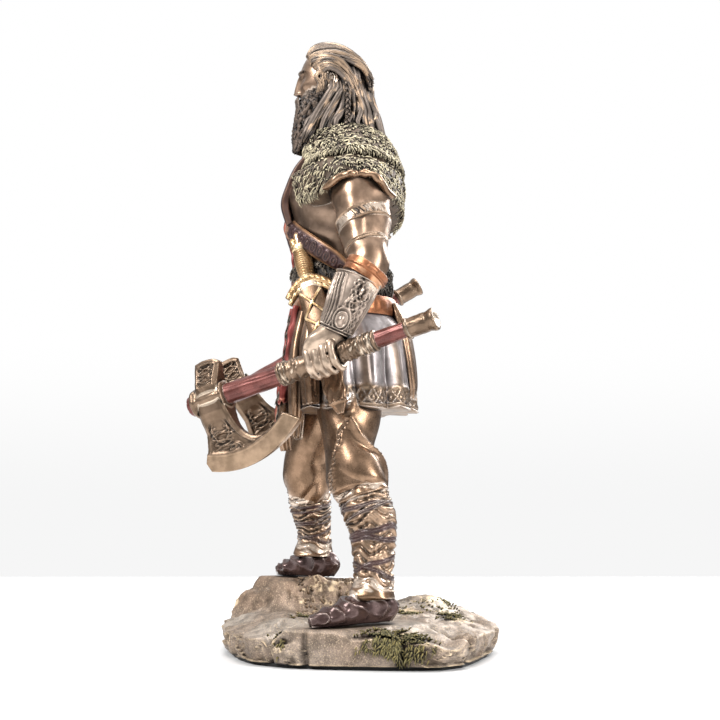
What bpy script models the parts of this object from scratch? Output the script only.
"""Cast resin statuette of a viking warrior with two axes, on a rock base. Metres, +Z up, facing -Y.

The figure is one casting. Its pose, proportions and carving are laid out on a canon of equal
parts of its own height, from the planted sole to the crown. The rock base, the felt under it
and the two axes that are glued through the fists are pieces of their own.
"""

import math
import random

import bmesh
import bpy
from mathutils import Matrix, Vector

# Figure
FIGURE_HEIGHT = 0.221
CANON_PARTS = 221.0
PART = FIGURE_HEIGHT / CANON_PARTS

# Base and felt
FELT_THICKNESS = 0.0010
FELT_INSET = 0.0012
BASE_LENGTH = 0.104
BASE_WIDTH = 0.104
STONE_HEIGHT = 0.0120
STEP_HEIGHT = 0.0108
RIM_DROP = 0.0034
JOINT_GAP = 0.0003

# Axes
AXE_LENGTH = 0.099
HAFT_TOP_RADIUS = 0.0041
HAFT_END_RADIUS = 0.0026
CAP_RADIUS = 0.0040
WRAP_THICKNESS = 0.0004
BLADE_DROP = 0.0280
BLADE_REACH = 0.0380
POLL_RISE = 0.0145
HEAD_THICKNESS = 0.0096
EDGE_THICKNESS = 0.0009
FIST_CLEARANCE = 0.0003

# Surface of the cast figure
SKIN_VOXEL = 0.00075
FIGURE_TRIANGLES = 6500
AXE_GRIP_SHARE = 0.571
FAR_GRIP_SHARE = 0.535

BASE_BOTTOM = FELT_THICKNESS + JOINT_GAP
BASE_TOP = BASE_BOTTOM + STONE_HEIGHT
SOLE_LEVEL = BASE_TOP + JOINT_GAP

BRONZE = (0.42, 0.27, 0.16, 1.0)
STONE = (0.40, 0.28, 0.19, 1.0)
AXE_STEEL = (0.45, 0.34, 0.24, 1.0)
FELT_BLACK = (0.02, 0.02, 0.02, 1.0)


# Scene helpers

def clear_scene():
    for thing in list(bpy.data.objects):
        bpy.data.objects.remove(thing)


def collection(name):
    made = bpy.data.collections.new(name)
    bpy.context.scene.collection.children.link(made)
    return made


def material(name, colour, roughness, metallic):
    made = bpy.data.materials.new(name)
    made.use_nodes = True
    shader = made.node_tree.nodes["Principled BSDF"]
    shader.inputs["Base Color"].default_value = colour
    shader.inputs["Roughness"].default_value = roughness
    shader.inputs["Metallic"].default_value = metallic
    return made


def add_object(name, mesh, group, finish=None):
    thing = bpy.data.objects.new(name, mesh)
    group.objects.link(thing)
    if finish:
        mesh.materials.append(finish)
    return thing


def hide_cutter(thing):
    thing.hide_render = True
    thing.display_type = "WIRE"
    return thing


def mesh_from(name, vertices, faces):
    mesh = bpy.data.meshes.new(name)
    mesh.from_pydata(vertices, [], faces)
    shape = bmesh.new()
    shape.from_mesh(mesh)
    bmesh.ops.recalc_face_normals(shape, faces=shape.faces)
    shape.to_mesh(mesh)
    shape.free()
    return mesh


def applied_mesh(thing, name):
    """The evaluated mesh of an object, placed as the object stands."""
    bpy.context.view_layer.update()
    graph = bpy.context.evaluated_depsgraph_get()
    mesh = bpy.data.meshes.new_from_object(thing.evaluated_get(graph))
    mesh.name = name
    mesh.transform(thing.matrix_world)
    shape = bmesh.new()
    shape.from_mesh(mesh)
    bmesh.ops.remove_doubles(shape, verts=shape.verts, dist=1e-6)
    bmesh.ops.recalc_face_normals(shape, faces=shape.faces)
    shape.to_mesh(mesh)
    shape.free()
    return mesh


# Shape functions

def smooth_step(low, high, value):
    t = min(1.0, max(0.0, (value - low) / (high - low)))
    return t * t * (3 - 2 * t)


def bump(distance, width):
    return math.exp(-(distance / width) ** 2)


def turn_gap(a, b):
    """The smaller angle between two directions, in radians."""
    return abs((a - b + math.pi) % (2 * math.pi) - math.pi)


def spline(rows, count):
    """Points on a smooth curve through rows of equal length (Catmull-Rom)."""
    spans = len(rows) - 1
    found = []
    for k in range(count):
        at = spans * k / (count - 1)
        i = min(int(at), spans - 1)
        t = at - i
        before, start = rows[max(i - 1, 0)], rows[i]
        end, after = rows[i + 1], rows[min(i + 2, spans)]
        found.append([
            0.5 * (2 * b + (c - a) * t + (2 * a - 5 * b + 4 * c - d) * t * t
                   + (3 * b - a - 3 * c + d) * t ** 3)
            for a, b, c, d in zip(before, start, end, after)
        ])
    return found


def ring_axes(centres, index, front, level):
    """The side and front directions of one ring of a loft."""
    if level:
        return Vector((1, 0, 0)), Vector((0, -1, 0))
    ahead = centres[min(index + 1, len(centres) - 1)]
    behind = centres[max(index - 1, 0)]
    along = (ahead - behind).normalized()
    side = front.cross(along).normalized()
    return side, along.cross(side).normalized()


def loft(rows, around=20, steps=20, front=(0, -1, 0), level=False, relief=None, square=2.0):
    """A closed form through rows of (x, y, z, half width, half depth), in canon parts.

    relief(share along, angle round) is added to the radius. Angle 0 is the form's left side
    and a quarter turn is its front. square over 2 gives the rings fuller corners.
    """
    stations = spline(rows, steps)
    centres = [Vector(s[:3]) for s in stations]
    points, faces = [], []
    for i, station in enumerate(stations):
        side, ahead = ring_axes(centres, i, Vector(front), level)
        for j in range(around):
            angle = 2 * math.pi * j / around
            c, s = math.cos(angle), math.sin(angle)
            x = math.copysign(abs(c) ** (2 / square), c) * station[3]
            y = math.copysign(abs(s) ** (2 / square), s) * station[4]
            if relief:
                grown = relief(i / (steps - 1), angle)
                x += c * grown
                y += s * grown
            points.append(centres[i] + side * x + ahead * y)
    for i in range(steps - 1):
        for j in range(around):
            k = (j + 1) % around
            low, high = i * around, (i + 1) * around
            faces.append((low + j, low + k, high + k, high + j))
    for ring in (0, steps - 1):
        pole = len(points)
        points.append(centres[ring].copy())
        start = ring * around
        faces += [(start + j, start + (j + 1) % around, pole) for j in range(around)]
    return points, faces


def lock(rows, around=8, steps=9, **kind):
    """A tapering strand, such as a lock of hair or a cord of a braid."""
    return loft(rows, around, steps, **kind)


def ball(centre, sizes, around=16, steps=10):
    """An egg-shaped form of three half sizes, in canon parts."""
    points, faces = [], []
    for i in range(1, steps):
        tilt = math.pi * i / steps
        for j in range(around):
            turn = 2 * math.pi * j / around
            points.append(Vector((
                centre[0] + sizes[0] * math.sin(tilt) * math.cos(turn),
                centre[1] + sizes[1] * math.sin(tilt) * math.sin(turn),
                centre[2] + sizes[2] * math.cos(tilt),
            )))
    for i in range(steps - 2):
        for j in range(around):
            k = (j + 1) % around
            low, high = i * around, (i + 1) * around
            faces.append((low + j, low + k, high + k, high + j))
    for ring, up in ((0, 1), (steps - 2, -1)):
        pole = len(points)
        points.append(Vector((centre[0], centre[1], centre[2] + up * sizes[2])))
        start = ring * around
        faces += [(start + j, start + (j + 1) % around, pole) for j in range(around)]
    return points, faces


def mirrored(rows):
    return [(-row[0], *row[1:]) for row in rows]


# Pose, in canon parts from the planted sole

LEFT_AXE_TIP = Vector((21.6, -61.8, 76.0))
LEFT_AXE_END = Vector((59.6, 25.7, 103.5))
RIGHT_AXE_TIP = Vector((-44.0, -59.4, 81.6))
RIGHT_AXE_END = Vector((-53.0, 25.9, 133.9))
LEFT_GRIP = LEFT_AXE_TIP.lerp(LEFT_AXE_END, AXE_GRIP_SHARE)
RIGHT_GRIP = RIGHT_AXE_TIP.lerp(RIGHT_AXE_END, FAR_GRIP_SHARE)
RIGHT_SOLE = STEP_HEIGHT / PART

LEFT_LEG = [
    (9.0, -5.0, 98, 12.0, 14.0), (15.0, -4.5, 84, 12.0, 13.0), (20.0, -3.8, 72, 11.2, 11.4),
    (23.0, -3.8, 61, 10.2, 9.0), (25.0, -1.6, 53, 11.0, 10.6), (26.4, 0.4, 46.4, 10.4, 9.8),
    (27.8, 1.2, 42.6, 7.6, 7.4),
]
LEFT_SHIN = [
    (27.6, 0.6, 46, 8.0, 8.2), (28.8, 2.4, 40, 8.2, 8.4), (30.0, 4.2, 34.4, 8.0, 8.0),
    (31.2, 4.7, 26.4, 7.0, 7.1), (32.4, 4.8, 18, 6.2, 6.3), (33.0, 4.9, 11, 6.4, 6.6),
]
RIGHT_LEG = [
    (-9.0, -5.0, 100, 12.0, 14.0), (-14.0, -9.0, 86, 12.0, 12.0),
    (-18.5, -15.0, 73, 10.8, 10.6), (-22.0, -20.6, 61, 10.0, 8.8), (-24.0, -21.0, 53, 10.4, 9.4),
    (-25.6, -20.2, 46.6, 9.6, 8.4), (-26.8, -19.8, 43, 7.2, 6.8),
]
RIGHT_SHIN = [
    (-26.4, -20.6, 46, 7.6, 7.8), (-27.8, -20.0, 40, 7.6, 7.6), (-29.2, -19.2, 35, 6.8, 6.8),
    (-30.6, -18.5, 29, 6.0, 6.0), (-32.0, -18.4, 22, 6.2, 6.4),
]
LEFT_HEEL, LEFT_TOE = Vector((27.2, 11.8, 0)), Vector((44.4, -17.0, 0))
RIGHT_HEEL = Vector((-27.0, -10.4, RIGHT_SOLE))
RIGHT_TOE = Vector((-49.5, -34.6, RIGHT_SOLE))
LEFT_ARM = [
    (25.0, -0.5, 163, 8.6, 9.4), (30.4, 0.4, 157, 9.4, 10.8), (34.6, 1.0, 149, 9.2, 10.4),
    (38.2, 1.4, 140, 8.6, 9.0), (41.6, 2.1, 132, 7.6, 7.4), (43.8, 2.8, 126, 6.9, 6.7),
    (44.8, 1.2, 120, 7.0, 7.0), (44.8, -2.6, 113, 6.4, 6.4),
]
LEFT_BRACER = [
    (44.9, -0.6, 119.5, 7.4, 7.2), (45.0, -3.4, 113, 7.2, 7.0), (44.8, -6.4, 106, 6.2, 6.0),
    (44.4, -8.8, 100.6, 5.3, 5.1),
]
RIGHT_ARM = [
    (-25.0, -1.5, 164, 8.6, 9.4), (-31.0, -0.6, 158, 9.4, 10.8), (-37.0, 0.8, 150.6, 9.2, 10.0),
    (-43.4, 2.4, 142.6, 8.4, 8.8), (-49.4, 3.6, 136, 7.4, 7.4), (-53.0, 2.8, 131, 6.9, 6.9),
    (-52.8, -0.6, 126.6, 6.7, 6.7), (-51.6, -5.0, 121.6, 6.3, 6.3),
]
RIGHT_BRACER = [
    (-52.9, -0.4, 127, 7.2, 7.2), (-51.8, -4.4, 122.4, 7.0, 7.0),
    (-50.4, -8.6, 117.4, 6.2, 6.1), (-49.6, -11.4, 114.2, 5.6, 5.5),
]
TORSO = [
    (0, -5.0, 96, 20, 17), (0, -6.0, 110, 21, 18.4), (0, -7.2, 121, 20, 18.2),
    (0, -8.0, 134, 20.8, 17.4), (0, -8.8, 147, 24.5, 17.8), (0, -9.4, 156, 27.0, 18.4),
    (0, -7.4, 165, 28.0, 16.5), (0, -5.4, 171, 22, 12.5), (0, -6.0, 177, 11, 9.5),
]
NECK = [(0, -5.0, 168, 10, 10), (0, -7.5, 180, 8.6, 9.0), (0, -10.0, 193, 8.0, 9.0)]
SKIRT = [
    (0, -5.4, 113, 20, 17.6), (0, -3.8, 107, 24.5, 21.4), (0, -2.6, 99, 27.0, 21.2),
    (0, -2.2, 88, 29.0, 21.6), (0, -1.8, 79, 30.4, 22.2), (0, -1.8, 76.4, 29.8, 21.6),
]
COLLAR = [
    (0, -5.2, 186, 10.0, 10.0), (0, -4.8, 182, 15.5, 14.0), (0, -4.0, 176, 25, 16.2),
    (0, -3.0, 169, 33.5, 16.8), (0, -2.4, 162, 39.0, 17.0), (0, -2.2, 155, 41.5, 16.6),
    (0, -2.2, 153.4, 37.0, 14.0),
]
HEAD_CENTRE = Vector((0, -12.2, 205.4))
SWORD_POMMEL, SWORD_CHAPE = Vector((15.5, -23.6, 141.0)), Vector((34.5, -6.7, 73.0))


# Carving of the figure

def fold_relief(u, angle):
    """Cloth of the baggy trousers: slack folds that deepen towards the gather."""
    return 0.7 * math.sin(3 * angle + 5 * u) * smooth_step(0.35, 0.8, u)


def binding_relief(u, angle):
    """Leg bindings: slanting turns, each lapping over the next."""
    turns = (7.5 * u + angle / (2 * math.pi)) % 1.0
    return 0.9 * turns - 0.3


def skirt_relief(u, angle):
    """Flutes of the tunic skirt, which deepen towards the hem, and the braided hem band."""
    flute = 1.7 * math.sin(11 * angle + 1.1 * math.sin(2 * angle)) * smooth_step(0.05, 0.8, u)
    band = 0.8 * (smooth_step(0.70, 0.74, u) - smooth_step(0.86, 0.90, u))
    return flute + band


def collar_relief(u, angle):
    """Two tiers of fur locks."""
    tier = u * 2.4
    share = tier % 1.0
    shift = 0.7 * math.floor(tier)
    tuft = abs(math.sin(17 * angle + shift + 1.3 * math.sin(3 * angle)))
    return (0.6 + 1.5 * tuft) * share * smooth_step(0.05, 0.25, u)


def beard_relief(u, angle):
    return 0.8 * abs(math.sin(5 * angle)) * smooth_step(0.05, 0.3, u)


def torso_relief(u, angle):
    """Chest muscles at the front, and the furrow between them."""
    chest = bump(u - 0.63, 0.10) * (bump(turn_gap(angle, 1.15), 0.42)
                                    + bump(turn_gap(angle, math.pi - 1.15), 0.42))
    return 1.3 * chest


def shoe(heel, toe):
    """A low turn-shoe: an egg-shaped heel, a full instep and a pointed, slightly raised toe."""
    run = toe - heel
    # share along the foot, half width, top height above the sole
    profile = [
        (0.00, 2.4, 6.0), (0.06, 4.4, 8.6), (0.22, 5.0, 12.0), (0.42, 5.0, 11.4),
        (0.60, 5.6, 8.6), (0.78, 5.0, 6.2), (0.92, 3.0, 4.6), (1.00, 1.0, 3.2),
    ]
    rows = []
    for share, wide, high in profile:
        at = heel + run * share
        rows.append((at.x, at.y, at.z + high / 2 - 0.6, wide, high / 2 + 0.6))
    return loft(rows, 16, 18, front=(0, 0, 1), square=2.3)


def cuff(rows, flare):
    """The flared edge of the trouser leg over the shoe."""
    return loft([
        (x, y, z, wide + grown, deep + grown)
        for (x, y, z, wide, deep), grown in zip(rows, (0.2, 0.8, flare, flare - 0.4))
    ], 18, 8)


def ring_round(rows, share, grown, height):
    """A band that sits round a limb at a share of its path."""
    stations = spline(rows, 60)
    at = round(share * 59)
    x, y, z, wide, deep = stations[at]
    step = Vector(stations[min(at + 1, 59)][:3]) - Vector(stations[max(at - 1, 0)][:3])
    along = step.normalized() * height / 2
    ends = []
    for k in (-1, -0.6, 0.6, 1):
        inner = 0.6 if abs(k) == 1 else 0
        ends.append((
            x + along.x * k, y + along.y * k, z + along.z * k,
            wide + grown - inner, deep + grown - inner,
        ))
    return loft(ends, 20, 7)


def haft_radius(share):
    """The wrapped haft's radius at a share of its length, in canon parts."""
    plain = HAFT_TOP_RADIUS + (HAFT_END_RADIUS - HAFT_TOP_RADIUS) * share
    return (plain + WRAP_THICKNESS) / PART


def fist(grip, tip, wrist, knuckles, side, share):
    """A closed hand round the haft: back of the hand, palm, four fingers and the thumb.

    knuckles points from the haft to the knuckle row, and side is 1 on the right hand and -1 on
    the left, where the fingers close the other way.
    """
    along = (tip - grip).normalized()
    out = (knuckles - along * knuckles.dot(along)).normalized()
    curl = along.cross(out) * side
    reach = haft_radius(share)
    row = grip + out * (reach + 0.4)

    def place(forward, a, radius):
        return grip + along * forward + (out * math.cos(a) + curl * math.sin(a)) * radius

    back = [(*wrist, 5.2, 4.2), (*wrist.lerp(row, 0.45), 5.7, 3.9), (*row, 6.2, 3.0),
            (*(row - out * 2.0), 5.8, 2.0)]
    inner = place(0, math.radians(-80), reach + 0.9)
    palm = [(*wrist, 5.0, 3.8), (*wrist.lerp(inner, 0.5), 5.8, 3.4), (*inner, 6.2, 2.4),
            (*place(0, math.radians(-125), reach + 0.9), 5.0, 1.6)]
    shapes = [loft(back, 16, 10, front=tuple(curl), square=2.4),
              loft(palm, 16, 10, front=tuple(curl), square=2.4)]
    for k, thick in enumerate((1.75, 1.8, 1.72, 1.55)):
        rows = []
        for turn, lift, size in ((-20, 0.6, 1.0), (12, 1.1, 1.08), (45, 0.9, 0.96),
                                 (80, 1.0, 1.02), (115, 0.9, 0.92), (150, 0.8, 0.95),
                                 (185, 0.7, 0.85), (215, 0.6, 0.7)):
            at = place(4.65 - 3.1 * k, math.radians(turn), reach + thick * 0.5 + lift * 0.6)
            rows.append((*at, thick * size, thick * size))
        shapes.append(loft(rows, 10, 18, front=tuple(along)))
    thumb = [(*place(3.6, math.radians(-60), reach + 2.0), 2.2, 2.2),
             (*place(6.6, math.radians(-95), reach + 1.3), 2.0, 2.0),
             (*place(7.6, math.radians(-140), reach + 1.1), 1.8, 1.8),
             (*place(7.2, math.radians(-185), reach + 1.0), 1.4, 1.4)]
    shapes.append(loft(thumb, 10, 10, front=tuple(along)))
    return shapes


def head_shapes():
    """Skull, face, beard and the swept-back hair. The face is a plain canon of proportions."""
    c = HEAD_CENTRE
    shapes = [ball(c, (10.2, 11.8, 14.2), 20, 14)]
    shapes.append(ball(c + Vector((0, -2.8, -7.0)), (8.2, 8.2, 8.6), 16, 10))
    shapes.append(loft([
        (0, c.y - 10.8, c.z + 1.6, 1.1, 1.4), (0, c.y - 12.2, c.z - 1.8, 1.3, 1.6),
        (0, c.y - 13.2, c.z - 4.4, 1.9, 1.7), (0, c.y - 11.4, c.z - 6.0, 1.8, 1.6),
    ], 10, 9, front=(0, -1, 0)))
    shapes.append(loft([
        (x, c.y - 10.4 + 0.045 * x * x, c.z + 2.6 - 0.02 * x * x, 1.2, 1.3)
        for x in (-7.6, -4, 0, 4, 7.6)
    ], 8, 9, front=(0, -1, 0)))
    beard = [
        (0, c.y - 3.6, c.z - 4.0, 8.8, 7.4), (0, c.y - 5.2, c.z - 10.5, 8.6, 7.2),
        (0, c.y - 7.2, c.z - 17.0, 7.2, 5.6), (0, c.y - 8.8, c.z - 22.6, 5.2, 4.0),
        (0, c.y - 9.2, c.z - 26.6, 2.6, 2.6),
    ]
    shapes.append(loft(beard, 24, 16, relief=beard_relief))
    for side in (-1, 1):
        shapes.append(ball(c + Vector((side * 10.2, 1.0, -1.6)), (1.7, 2.5, 4.0), 10, 7))
    shapes += hair_locks()
    return shapes


def hair_locks():
    """Locks combed back from the brow over the crown, and long strands down to the collar."""
    c = HEAD_CENTRE
    shapes = [ball(c + Vector((0, 2.8, 1.2)), (10.9, 11.4, 13.4), 20, 14)]
    crown = 9
    for k in range(crown):
        lean = (k / (crown - 1) - 0.5) * 2.5
        x, high = 11.2 * math.sin(lean), 14.2 * math.cos(lean * 0.86)
        shapes.append(lock([
            (0.74 * x, c.y - 8.4 + 1.6 * abs(lean), c.z + 0.74 * high, 2.0, 1.2),
            (0.90 * x, c.y - 4.0, c.z + 0.92 * high, 2.6, 1.7),
            (x, c.y + 3.0, c.z + 0.92 * high, 2.7, 1.8),
            (0.98 * x, c.y + 9.8, c.z + 0.66 * high, 2.6, 1.8),
            (0.88 * x, c.y + 14.0, c.z + 0.18 * high, 2.4, 1.8),
            (0.80 * x, c.y + 16.0, c.z - 0.30 * high, 2.0, 1.6),
        ], 8, 12, front=(0, 0, 1)))
    fall = 8
    for k in range(fall):
        turn = math.radians(10 + 160 * k / (fall - 1))
        x, y = math.cos(turn), math.sin(turn)
        shapes.append(lock([
            (9.8 * x, c.y + 2.6 + 10.4 * y, c.z + 4.0, 2.8, 2.2),
            (10.4 * x, c.y + 3.4 + 11.6 * y, c.z - 4.0, 3.2, 2.5),
            (10.0 * x, c.y + 4.2 + 12.8 * y, c.z - 13.0, 3.1, 2.5),
            (11.4 * x, c.y + 4.8 + 15.0 * y, c.z - 21.0, 2.6, 2.2),
            (12.6 * x, c.y + 5.2 + 17.0 * y, c.z - 27.0, 1.2, 1.2),
        ], 8, 12))
    return shapes


def sword_shapes():
    """The sheathed sword on the left hip: lobed pommel, grip, curved guard and scabbard."""
    run = SWORD_CHAPE - SWORD_POMMEL
    turn = tuple(Vector((1, 0.2, 0.2)).normalized())

    def at(share, wide, deep):
        return (*(SWORD_POMMEL + run * share), wide, deep)

    shapes = [loft([at(-0.01, 1.2, 1.0), at(0.02, 3.2, 2.2), at(0.07, 3.6, 2.4),
                    at(0.09, 2.6, 2.0)], 12, 8, front=turn)]
    shapes.append(loft([at(0.07, 2.1, 1.8), at(0.15, 2.5, 2.1), at(0.26, 2.4, 2.0)], 12, 8,
                       front=turn))
    guard = []
    for k in range(-3, 4):
        place = SWORD_POMMEL + run * (0.255 + 0.0075 * k * k)
        place += Vector((0.55, 0.80, 0.12)) * (2.9 * k)
        guard.append((*place, 2.0 - 0.12 * abs(k), 2.4))
    shapes.append(loft(guard, 10, 14, front=turn))
    shapes.append(loft([at(0.27, 4.0, 2.1), at(0.5, 3.9, 2.0), at(0.8, 3.8, 1.9),
                        at(0.92, 3.2, 1.8), at(1.0, 0.8, 1.0)], 12, 14, front=turn, square=2.6))
    return shapes


def strap_shapes():
    """Baldric across the chest, harness plates, belt, waist fur and the long front tabard."""
    shapes = []
    sash = []
    for share in range(9):
        t = share / 8
        angle = math.radians(118 - 118 * t)
        sash.append((
            23.6 * math.cos(angle), -8.4 - 18.4 * math.sin(angle), 156.0 - 28.0 * t, 2.2, 1.4))
    shapes.append(loft(sash, 8, 16, front=(0.3, -0.9, 0.3)))
    for side in (-1, 1):
        shapes.append(loft([
            (side * 9, -21.0, 170, 4.0, 1.8), (side * 8.6, -25.6, 163, 4.2, 1.8),
            (side * 8.0, -27.6, 155, 4.2, 1.8), (side * 6.8, -26.0, 147, 3.0, 1.6)], 10, 9))
    shapes.append(loft([
        (0, -26.4, 162, 4.2, 1.8), (0, -26.0, 150, 4.4, 1.6), (0, -24.6, 138, 4.6, 1.6),
        (0, -24.4, 124, 5.0, 1.8)], 10, 12, square=3.0))
    waist = [(0, -7.4, 132, 19.2, 16.8), (0, -7.2, 129, 21.0, 18.6), (0, -6.6, 123, 21.6, 18.8),
             (0, -6.2, 119, 20.0, 17.6)]
    shapes.append(loft(waist, 44, 9, level=True,
                       relief=lambda u, a: 1.3 * abs(math.sin(15 * a)) * math.sin(math.pi * u)))
    belt = [(0, -5.8, 118, 20.6, 18.2), (0, -5.6, 117, 22.2, 19.6), (0, -5.2, 112, 22.6, 20.0),
            (0, -5.2, 110.5, 21.0, 18.6)]
    shapes.append(loft(belt, 40, 8, level=True))
    tabard = [(0, -23.0, 114, 7.0, 2.4), (0, -24.8, 104, 7.8, 2.8), (0, -26.4, 92, 8.6, 3.0),
              (0, -28.4, 80, 9.2, 3.0), (0, -29.6, 69, 8.6, 2.8), (0, -28.6, 61, 5.0, 2.0)]
    shapes.append(loft(tabard, 24, 16, square=2.6,
                       relief=lambda u, a: 0.7 * math.sin(6 * a)))
    for side in (-1, 1):
        shapes.append(loft([
            (side * 12, -20.0, 112, 5.0, 3.4), (side * 14, -22.0, 100, 6.0, 3.6),
            (side * 15.5, -22.4, 88, 6.6, 3.6), (side * 16.5, -22.0, 78, 6.4, 3.2)], 14, 10))
    return shapes


def figure_shapes():
    """Every form of the casting, in canon parts from the planted sole."""
    shapes = [
        loft(TORSO, 32, 26, level=True, relief=torso_relief),
        loft(NECK, 16, 8),
        loft(SKIRT, 66, 22, level=True, relief=skirt_relief),
        loft(COLLAR, 68, 22, level=True, relief=collar_relief, square=2.1),
        loft(LEFT_LEG, 24, 22, relief=fold_relief),
        loft(RIGHT_LEG, 24, 22, relief=fold_relief),
        loft(LEFT_SHIN, 24, 40, relief=binding_relief),
        loft(RIGHT_SHIN, 24, 34, relief=binding_relief),
        shoe(LEFT_HEEL, LEFT_TOE),
        shoe(RIGHT_HEEL, RIGHT_TOE),
        cuff([(32.8, 4.8, 17, 5.6, 5.8), (33.0, 4.9, 13, 5.8, 6.0), (33.2, 5.0, 9.4, 6.0, 6.2),
              (33.2, 5.0, 8.4, 5.6, 5.8)], 1.4),
        cuff([(-31.6, -18.4, 26, 5.6, 5.8), (-32.0, -18.4, 23.4, 5.8, 6.0),
              (-32.4, -18.6, 20.4, 6.2, 6.4), (-32.4, -18.6, 19.4, 5.8, 6.0)], 1.2),
    ]
    for arm, bracer in ((LEFT_ARM, LEFT_BRACER), (RIGHT_ARM, RIGHT_BRACER)):
        shapes.append(loft(arm, 22, 24))
        shapes.append(loft(bracer, 22, 14))
        shapes.append(ring_round(arm, 0.40, 1.1, 5.0))
        shapes.append(ring_round(arm, 0.55, 0.7, 1.6))
        shapes.append(ring_round(arm, 0.80, 1.0, 4.6))
        shapes.append(ring_round(bracer, 0.06, 0.8, 1.6))
        shapes.append(ring_round(bracer, 0.92, 0.8, 1.8))
    shapes += fist(LEFT_GRIP, LEFT_AXE_TIP, Vector(LEFT_BRACER[-1][:3]),
                   Vector((0.62, 0.05, 0.78)), -1, AXE_GRIP_SHARE)
    shapes += fist(RIGHT_GRIP, RIGHT_AXE_TIP, Vector(RIGHT_BRACER[-1][:3]),
                   Vector((-0.62, 0.05, 0.78)), 1, FAR_GRIP_SHARE)
    shapes += head_shapes()
    shapes += sword_shapes()
    shapes += strap_shapes()
    return shapes


def place_in_figure(point):
    """Canon parts from the planted sole to metres in the statue's frame."""
    return Vector((point[0] * PART, point[1] * PART, SOLE_LEVEL + point[2] * PART))


def haft_path(tip, end, grip_share):
    """The haft's axis through the grip: the place of its top, and its direction."""
    along = (place_in_figure(end) - place_in_figure(tip)).normalized()
    grip = place_in_figure(tip.lerp(end, grip_share))
    return grip - along * AXE_LENGTH * grip_share, along


def build_figure(group, cutters, finish):
    """The casting: all forms grown into one skin, thinned, then cut for the rock and hafts."""
    points, faces = [], []
    for shape_points, shape_faces in figure_shapes():
        first = len(points)
        points += [place_in_figure(p) for p in shape_points]
        faces += [[first + i for i in face] for face in shape_faces]
    mesh = bpy.data.meshes.new("figure_forms")
    mesh.from_pydata(points, [], faces)
    body = add_object("viking_figure", mesh, group)
    skin = body.modifiers.new("one_skin", "REMESH")
    skin.mode = "VOXEL"
    skin.voxel_size = SKIN_VOXEL
    skin.adaptivity = 0.0
    grown = applied_mesh(body, "figure_skin")
    body.modifiers.remove(skin)
    body.data = grown
    grown.materials.append(finish)
    thin = body.modifiers.new("thinned", "DECIMATE")
    thin.ratio = FIGURE_TRIANGLES / (2.0 * len(grown.polygons))
    for cutter in figure_cutters(cutters):
        cut = body.modifiers.new("cut_" + cutter.name, "BOOLEAN")
        cut.operation = "DIFFERENCE"
        cut.object = cutter
    return body


def figure_cutters(cutters):
    """Flat soles that sit on the rock, and the bores of the fists round the hafts."""
    found = []
    for name, heel, toe in (("left", LEFT_HEEL, LEFT_TOE), ("right", RIGHT_HEEL, RIGHT_TOE)):
        middle = place_in_figure((heel + toe) / 2)
        run = (toe - heel) * PART
        reach = run.length
        bpy.ops.mesh.primitive_cube_add(size=1.0)
        cutter = bpy.context.object
        cutter.name = f"{name}_sole_cutter"
        cutter.dimensions = (reach * 0.6, reach * 1.4, reach * 0.25)
        cutter.rotation_euler.z = math.atan2(run.y, run.x) + math.pi / 2
        cutter.location = middle - Vector((0, 0, reach * 0.125))
        found.append(cutter)
    for name, path in (("left", (LEFT_AXE_TIP, LEFT_AXE_END, AXE_GRIP_SHARE)),
                       ("right", (RIGHT_AXE_TIP, RIGHT_AXE_END, FAR_GRIP_SHARE))):
        top, along = haft_path(*path)
        spare = FIST_CLEARANCE + WRAP_THICKNESS
        bpy.ops.mesh.primitive_cone_add(
            vertices=20, radius1=HAFT_TOP_RADIUS + spare, radius2=HAFT_END_RADIUS + spare,
            depth=AXE_LENGTH)
        cutter = bpy.context.object
        cutter.name = f"{name}_fist_bore"
        cutter.rotation_mode = "QUATERNION"
        cutter.rotation_quaternion = along.to_track_quat("Z", "Y")
        cutter.location = top + along * AXE_LENGTH / 2
        found.append(cutter)
    for cutter in found:
        for owner in list(cutter.users_collection):
            owner.objects.unlink(cutter)
        cutters.objects.link(cutter)
        hide_cutter(cutter)
    return found


# Axes

def haft_profile():
    """Radius of the haft at distances from its top: knob, shaft, wrapped grip and flared cap."""
    def shaft(x):
        return HAFT_TOP_RADIUS + (HAFT_END_RADIUS - HAFT_TOP_RADIUS) * x / AXE_LENGTH

    wrap_start, wrap_end, cap_start = 0.38 * AXE_LENGTH, 0.76 * AXE_LENGTH, 0.90 * AXE_LENGTH
    profile = [(0.0, 0.0), (0.0, 0.55 * HAFT_TOP_RADIUS), (0.0012, 0.92 * HAFT_TOP_RADIUS)]
    profile.append((0.0035, shaft(0.0035)))
    profile.append((wrap_start, shaft(wrap_start)))
    profile.append((wrap_start + 0.0004, shaft(wrap_start) + WRAP_THICKNESS))
    profile.append((wrap_end, shaft(wrap_end) + WRAP_THICKNESS))
    profile.append((wrap_end + 0.0004, shaft(wrap_end)))
    profile.append((cap_start, shaft(cap_start)))
    profile.append((cap_start + 0.0003, shaft(cap_start) + WRAP_THICKNESS))
    profile.append((cap_start + 0.0016, shaft(cap_start) + WRAP_THICKNESS))
    profile.append((cap_start + 0.0024, shaft(cap_start) + 0.3 * WRAP_THICKNESS))
    profile.append((AXE_LENGTH - 0.0026, 0.84 * CAP_RADIUS))
    profile.append((AXE_LENGTH - 0.0012, CAP_RADIUS))
    profile.append((AXE_LENGTH - 0.0004, CAP_RADIUS))
    profile.append((AXE_LENGTH, 0.6 * CAP_RADIUS))
    profile.append((AXE_LENGTH, 0.0))
    return profile


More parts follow.
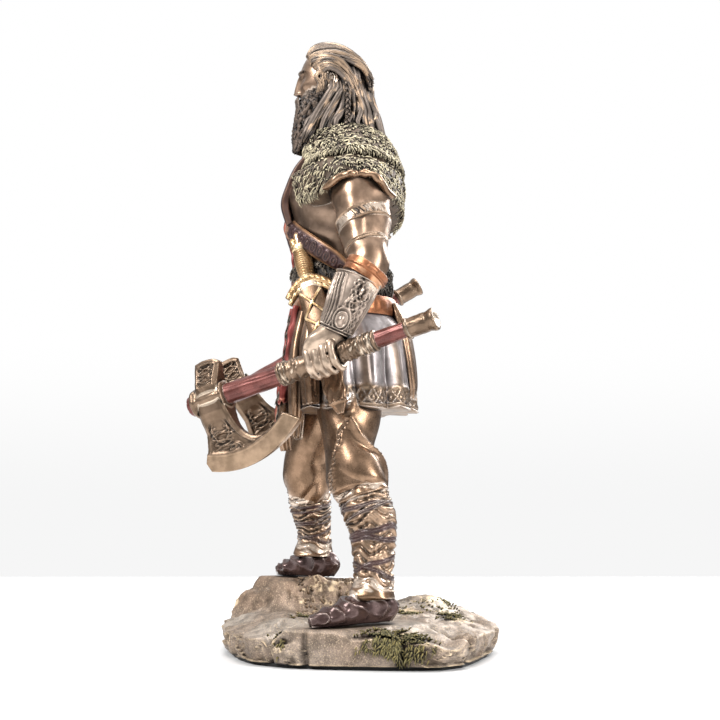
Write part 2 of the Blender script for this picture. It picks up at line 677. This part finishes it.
def turned_haft(group):
    """The haft, turned about its own axis, which is +X."""
    mesh = bpy.data.meshes.new("haft_profile")
    points = [(x, 0.0, -r) for x, r in haft_profile()]
    mesh.from_pydata(points, [(i, i + 1) for i in range(len(points) - 1)], [])
    haft = add_object("haft_blank", mesh, group)
    spin = haft.modifiers.new("turned", "SCREW")
    spin.axis = "X"
    spin.steps = spin.render_steps = 12
    spin.use_merge_vertices = True
    spin.merge_threshold = 1e-5
    made = applied_mesh(haft, "haft")
    bpy.data.objects.remove(haft)
    return made


def bearded_outline():
    """The axe head's side outline: (distance from the haft's top, drop below its axis)."""
    reach, drop, rise = BLADE_REACH, BLADE_DROP, POLL_RISE
    root = 1.25 * HAFT_TOP_RADIUS
    front = [(0.12 * reach, root), (0.13 * reach, 0.43 * drop), (0.10 * reach, 0.62 * drop),
             (0.05 * reach, 0.78 * drop)]
    edge = []
    for k in range(8):
        t = k / 7
        edge.append((reach * (0.08 + 1.02 * t),
                     drop * (0.90 + 0.50 * t - 0.78 * t * t)))
    horn = [(0.94 * reach, 0.46 * drop)]
    hollow = [(0.82 * reach, 0.59 * drop), (0.69 * reach, 0.65 * drop),
              (0.58 * reach, 0.62 * drop), (0.49 * reach, 0.50 * drop),
              (0.44 * reach, 0.34 * drop), (0.42 * reach, root)]
    poll = [(0.39 * reach, -root), (0.42 * reach, -0.72 * rise), (0.43 * reach, -0.86 * rise),
            (0.38 * reach, -0.96 * rise), (0.25 * reach, -rise), (0.17 * reach, -0.96 * rise),
            (0.15 * reach, -0.80 * rise), (0.14 * reach, -root)]
    return front + edge + horn + hollow + poll


def head_plate(group, cutters):
    """The axe head: its outline as a plate, narrowed to the cutting edge by a wedge."""
    curve = bpy.data.curves.new("head_outline", "CURVE")
    curve.dimensions = "2D"
    curve.fill_mode = "BOTH"
    curve.extrude = HEAD_THICKNESS
    outline = bearded_outline()
    run = curve.splines.new("POLY")
    run.points.add(len(outline) - 1)
    for point, (x, drop) in zip(run.points, outline):
        point.co = (x, -drop, 0.0, 1.0)
    run.use_cyclic_u = True
    plate = add_object("head_blank", curve, group)
    plate.rotation_euler.x = math.pi / 2
    solid = add_object("head_solid", applied_mesh(plate, "head_solid"), group)
    bpy.data.objects.remove(plate)

    drop, rise, half = BLADE_DROP, POLL_RISE, HEAD_THICKNESS / 2
    sections = [(-rise * 1.2, 0.34 * half), (-rise * 0.8, 0.34 * half), (-rise * 0.3, half),
                (1.3 * HAFT_TOP_RADIUS, half), (0.45 * drop, 0.44 * half),
                (0.80 * drop, 0.30 * half), (1.0 * drop, EDGE_THICKNESS / 2),
                (1.1 * drop, EDGE_THICKNESS / 2)]
    points, faces = [], []
    for level, width in sections:
        for x in (-BLADE_REACH, 2 * BLADE_REACH):
            for y in (-width, width):
                points.append((x, y, -level))
    for i in range(len(sections) - 1):
        a, b = 4 * i, 4 * i + 4
        faces += [(a, a + 2, b + 2, b), (a + 1, b + 1, b + 3, a + 3),
                  (a, b, b + 1, a + 1), (a + 2, a + 3, b + 3, b + 2)]
    last = 4 * (len(sections) - 1)
    faces += [(0, 1, 3, 2), (last, last + 2, last + 3, last + 1)]
    wedge = hide_cutter(add_object("head_wedge", mesh_from("wedge", points, faces), cutters))
    cut = solid.modifiers.new("narrowed", "BOOLEAN")
    cut.operation = "INTERSECT"
    cut.object = wedge
    made = applied_mesh(solid, "head")
    bpy.data.objects.remove(solid)
    bpy.data.objects.remove(wedge)
    return made


def socket(group):
    """The eye of the axe head round the haft, with a raised ring at its front."""
    root = HAFT_TOP_RADIUS
    start, end = 0.07 * BLADE_REACH, 0.42 * BLADE_REACH
    mesh = bpy.data.meshes.new("socket_profile")
    profile = [(start, 0.0), (start, 1.25 * root), (start + 0.0016, 1.34 * root),
               (start + 0.0028, 1.18 * root), (end - 0.0012, 1.26 * root), (end, 1.16 * root),
               (end, 0.0)]
    points = [(x, 0.0, -r) for x, r in profile]
    mesh.from_pydata(points, [(i, i + 1) for i in range(len(points) - 1)], [])
    ring = add_object("socket_blank", mesh, group)
    spin = ring.modifiers.new("turned", "SCREW")
    spin.axis = "X"
    spin.steps = spin.render_steps = 12
    spin.use_merge_vertices = True
    spin.merge_threshold = 1e-5
    made = applied_mesh(ring, "socket")
    bpy.data.objects.remove(ring)
    return made


def build_axe(name, path, group, cutters, finish):
    """One axe: haft, socket and bearded head in one casting, set along the haft's path."""
    top, along = haft_path(*path)
    drop = Vector((0, 0, -1)) - along * Vector((0, 0, -1)).dot(along)
    up = -drop.normalized()
    side = up.cross(along)
    place = Matrix((
        (along.x, side.x, up.x, top.x),
        (along.y, side.y, up.y, top.y),
        (along.z, side.z, up.z, top.z),
        (0, 0, 0, 1),
    ))
    axe = add_object(name, turned_haft(group), group, finish)
    for part_name, mesh in (("plate", head_plate(group, cutters)), ("socket", socket(group))):
        piece = hide_cutter(add_object(f"{name}_{part_name}", mesh, cutters))
        piece.matrix_world = place
        join = axe.modifiers.new("with_" + part_name, "BOOLEAN")
        join.operation = "UNION"
        join.object = piece
    axe.matrix_world = place
    return axe


# Rock base

# The slab's plan, as shares of the half width and half length, from its left side round
SLAB_PLAN = (
    (0.98, 0.10), (1.00, 0.51), (0.88, 0.69), (0.60, 0.82), (0.24, 0.96), (-0.26, 0.97),
    (-0.66, 0.84), (-0.93, 0.50), (-0.97, 0.02), (-0.99, -0.52), (-0.92, -0.84), (-0.45, -0.98),
    (0.05, -0.98), (0.42, -0.90), (0.72, -0.74), (0.92, -0.40),
)
CRACKS = ((0.98, 0.31), (0.94, -0.38), (0.42, -0.91), (-0.40, -0.98), (-0.95, -0.26), (-0.05, 0.97))


def plan_radius(turn):
    """Share of the half size out to the slab's side at a direction."""
    along = Vector((math.cos(turn), math.sin(turn)))
    for (ax, ay), (bx, by) in zip(SLAB_PLAN, SLAB_PLAN[1:] + SLAB_PLAN[:1]):
        start, run = Vector((ax, ay)), Vector((bx - ax, by - ay))
        cross = along.x * run.y - along.y * run.x
        if abs(cross) < 1e-9:
            continue
        out = (start.x * run.y - start.y * run.x) / cross
        share = (start.x * along.y - start.y * along.x) / cross
        if out > 0 and -1e-6 <= share <= 1 + 1e-6:
            return out
    return 1.0


def rim_radius(turn):
    """The slab's side, softened at its corners and cut back at the cracks."""
    spread = [plan_radius(turn + 0.07 * k) for k in (-1, 0, 1)]
    cut = sum(0.045 * bump(turn_gap(turn, math.atan2(y, x)), 0.05) for x, y in CRACKS)
    return sum(spread) / 3 - cut


def foot_cover(x, y, heel, toe):
    """1 under a shoe, falling to 0 a little outside it. x and y are in metres."""
    start, run = heel.to_2d() * PART, (toe - heel).to_2d() * PART
    point = Vector((x, y))
    t = min(1.05, max(-0.05, (point - start).dot(run) / run.length_squared))
    gap = (point - start - run * t).length
    reach = run.length
    return 1 - smooth_step(0.20 * reach, 0.34 * reach, gap)


def ground(x, y):
    """Height of the rock's top, in metres. The raised stone stands under the right foot."""
    u, v = x / (BASE_WIDTH / 2), y / (BASE_LENGTH / 2)
    out = math.hypot(u, v)
    level = BASE_TOP - RIM_DROP * smooth_step(0.50, 1.0, out)
    level += 0.05 * STONE_HEIGHT * math.sin(7 * u + 2) * math.sin(6 * v + 1)
    raised = 1 - smooth_step(0.62, 0.94, math.hypot((u + 0.74) / 0.62, (v + 0.42) / 0.66))
    level += STEP_HEIGHT * raised
    level += 0.34 * STONE_HEIGHT * bump(math.hypot(u + 0.62, v - 0.50), 0.30)
    for heel, toe, top in ((LEFT_HEEL, LEFT_TOE, BASE_TOP),
                           (RIGHT_HEEL, RIGHT_TOE, BASE_TOP + STEP_HEIGHT)):
        cover = foot_cover(x, y, heel, toe)
        level = level * (1 - cover) + top * cover
    return level


def build_base(group, finish):
    """The rock: rings of the uneven top, a rounded rim, a rough side and a flat underside."""
    around, rings = 50, 9
    points, faces = [], []
    half_x, half_y = BASE_WIDTH / 2, BASE_LENGTH / 2
    for i in range(1, rings + 1):
        for j in range(around):
            turn = 2 * math.pi * j / around
            out = rim_radius(turn) * 0.97 * i / rings
            x, y = half_x * out * math.cos(turn), half_y * out * math.sin(turn)
            points.append((x, y, ground(x, y)))
    sides = ((0.16, 1.0), (0.55, 1.01), (1.0, 0.98))
    for drop, out_share in sides:
        for j in range(around):
            turn = 2 * math.pi * j / around
            out = rim_radius(turn) * out_share
            x, y = half_x * out * math.cos(turn), half_y * out * math.sin(turn)
            top = ground(x * 0.97 / out_share, y * 0.97 / out_share)
            points.append((x, y, top + (BASE_BOTTOM - top) * drop))
    last = rings + len(sides) - 1
    for i in range(last):
        for j in range(around):
            k = (j + 1) % around
            low, high = i * around, (i + 1) * around
            faces.append((low + j, low + k, high + k, high + j))
    points.append((0, 0, ground(0, 0)))
    faces += [(j, (j + 1) % around, len(points) - 1) for j in range(around)]
    points.append((0, 0, BASE_BOTTOM))
    start = last * around
    faces += [(start + j, start + (j + 1) % around, len(points) - 1) for j in range(around)]
    return add_object("rock_base", mesh_from("rock", points, faces), group, finish)


def build_felt(group, finish):
    """The black felt glued under the rock, cut a little inside its outline."""
    curve = bpy.data.curves.new("felt_outline", "CURVE")
    curve.dimensions = "2D"
    curve.fill_mode = "BOTH"
    curve.extrude = FELT_THICKNESS / 2
    run = curve.splines.new("POLY")
    around = 36
    run.points.add(around - 1)
    for j, point in enumerate(run.points):
        turn = 2 * math.pi * j / around
        out = rim_radius(turn) * 0.97
        x = (BASE_WIDTH / 2 * out - FELT_INSET) * math.cos(turn)
        y = (BASE_LENGTH / 2 * out - FELT_INSET) * math.sin(turn)
        point.co = (x, y, 0.0, 1.0)
    run.use_cyclic_u = True
    felt = add_object("base_felt", curve, group, finish)
    felt.location.z = FELT_THICKNESS / 2
    return felt


def main():
    clear_scene()
    group = collection("viking_warrior_statuette")
    cutters = collection("cutters")
    bronze = material("cast_bronze_resin", BRONZE, 0.38, 0.85)
    steel = material("cast_axe_bronze", AXE_STEEL, 0.36, 0.85)
    stone = material("cast_rock_resin", STONE, 0.55, 0.5)
    felt = material("black_felt", FELT_BLACK, 0.95, 0.0)
    build_felt(group, felt)
    build_base(group, stone)
    build_figure(group, cutters, bronze)
    near_path = (LEFT_AXE_TIP, LEFT_AXE_END, AXE_GRIP_SHARE)
    far_path = (RIGHT_AXE_TIP, RIGHT_AXE_END, FAR_GRIP_SHARE)
    build_axe("left_axe", near_path, group, cutters, steel)
    build_axe("right_axe", far_path, group, cutters, steel)


main()
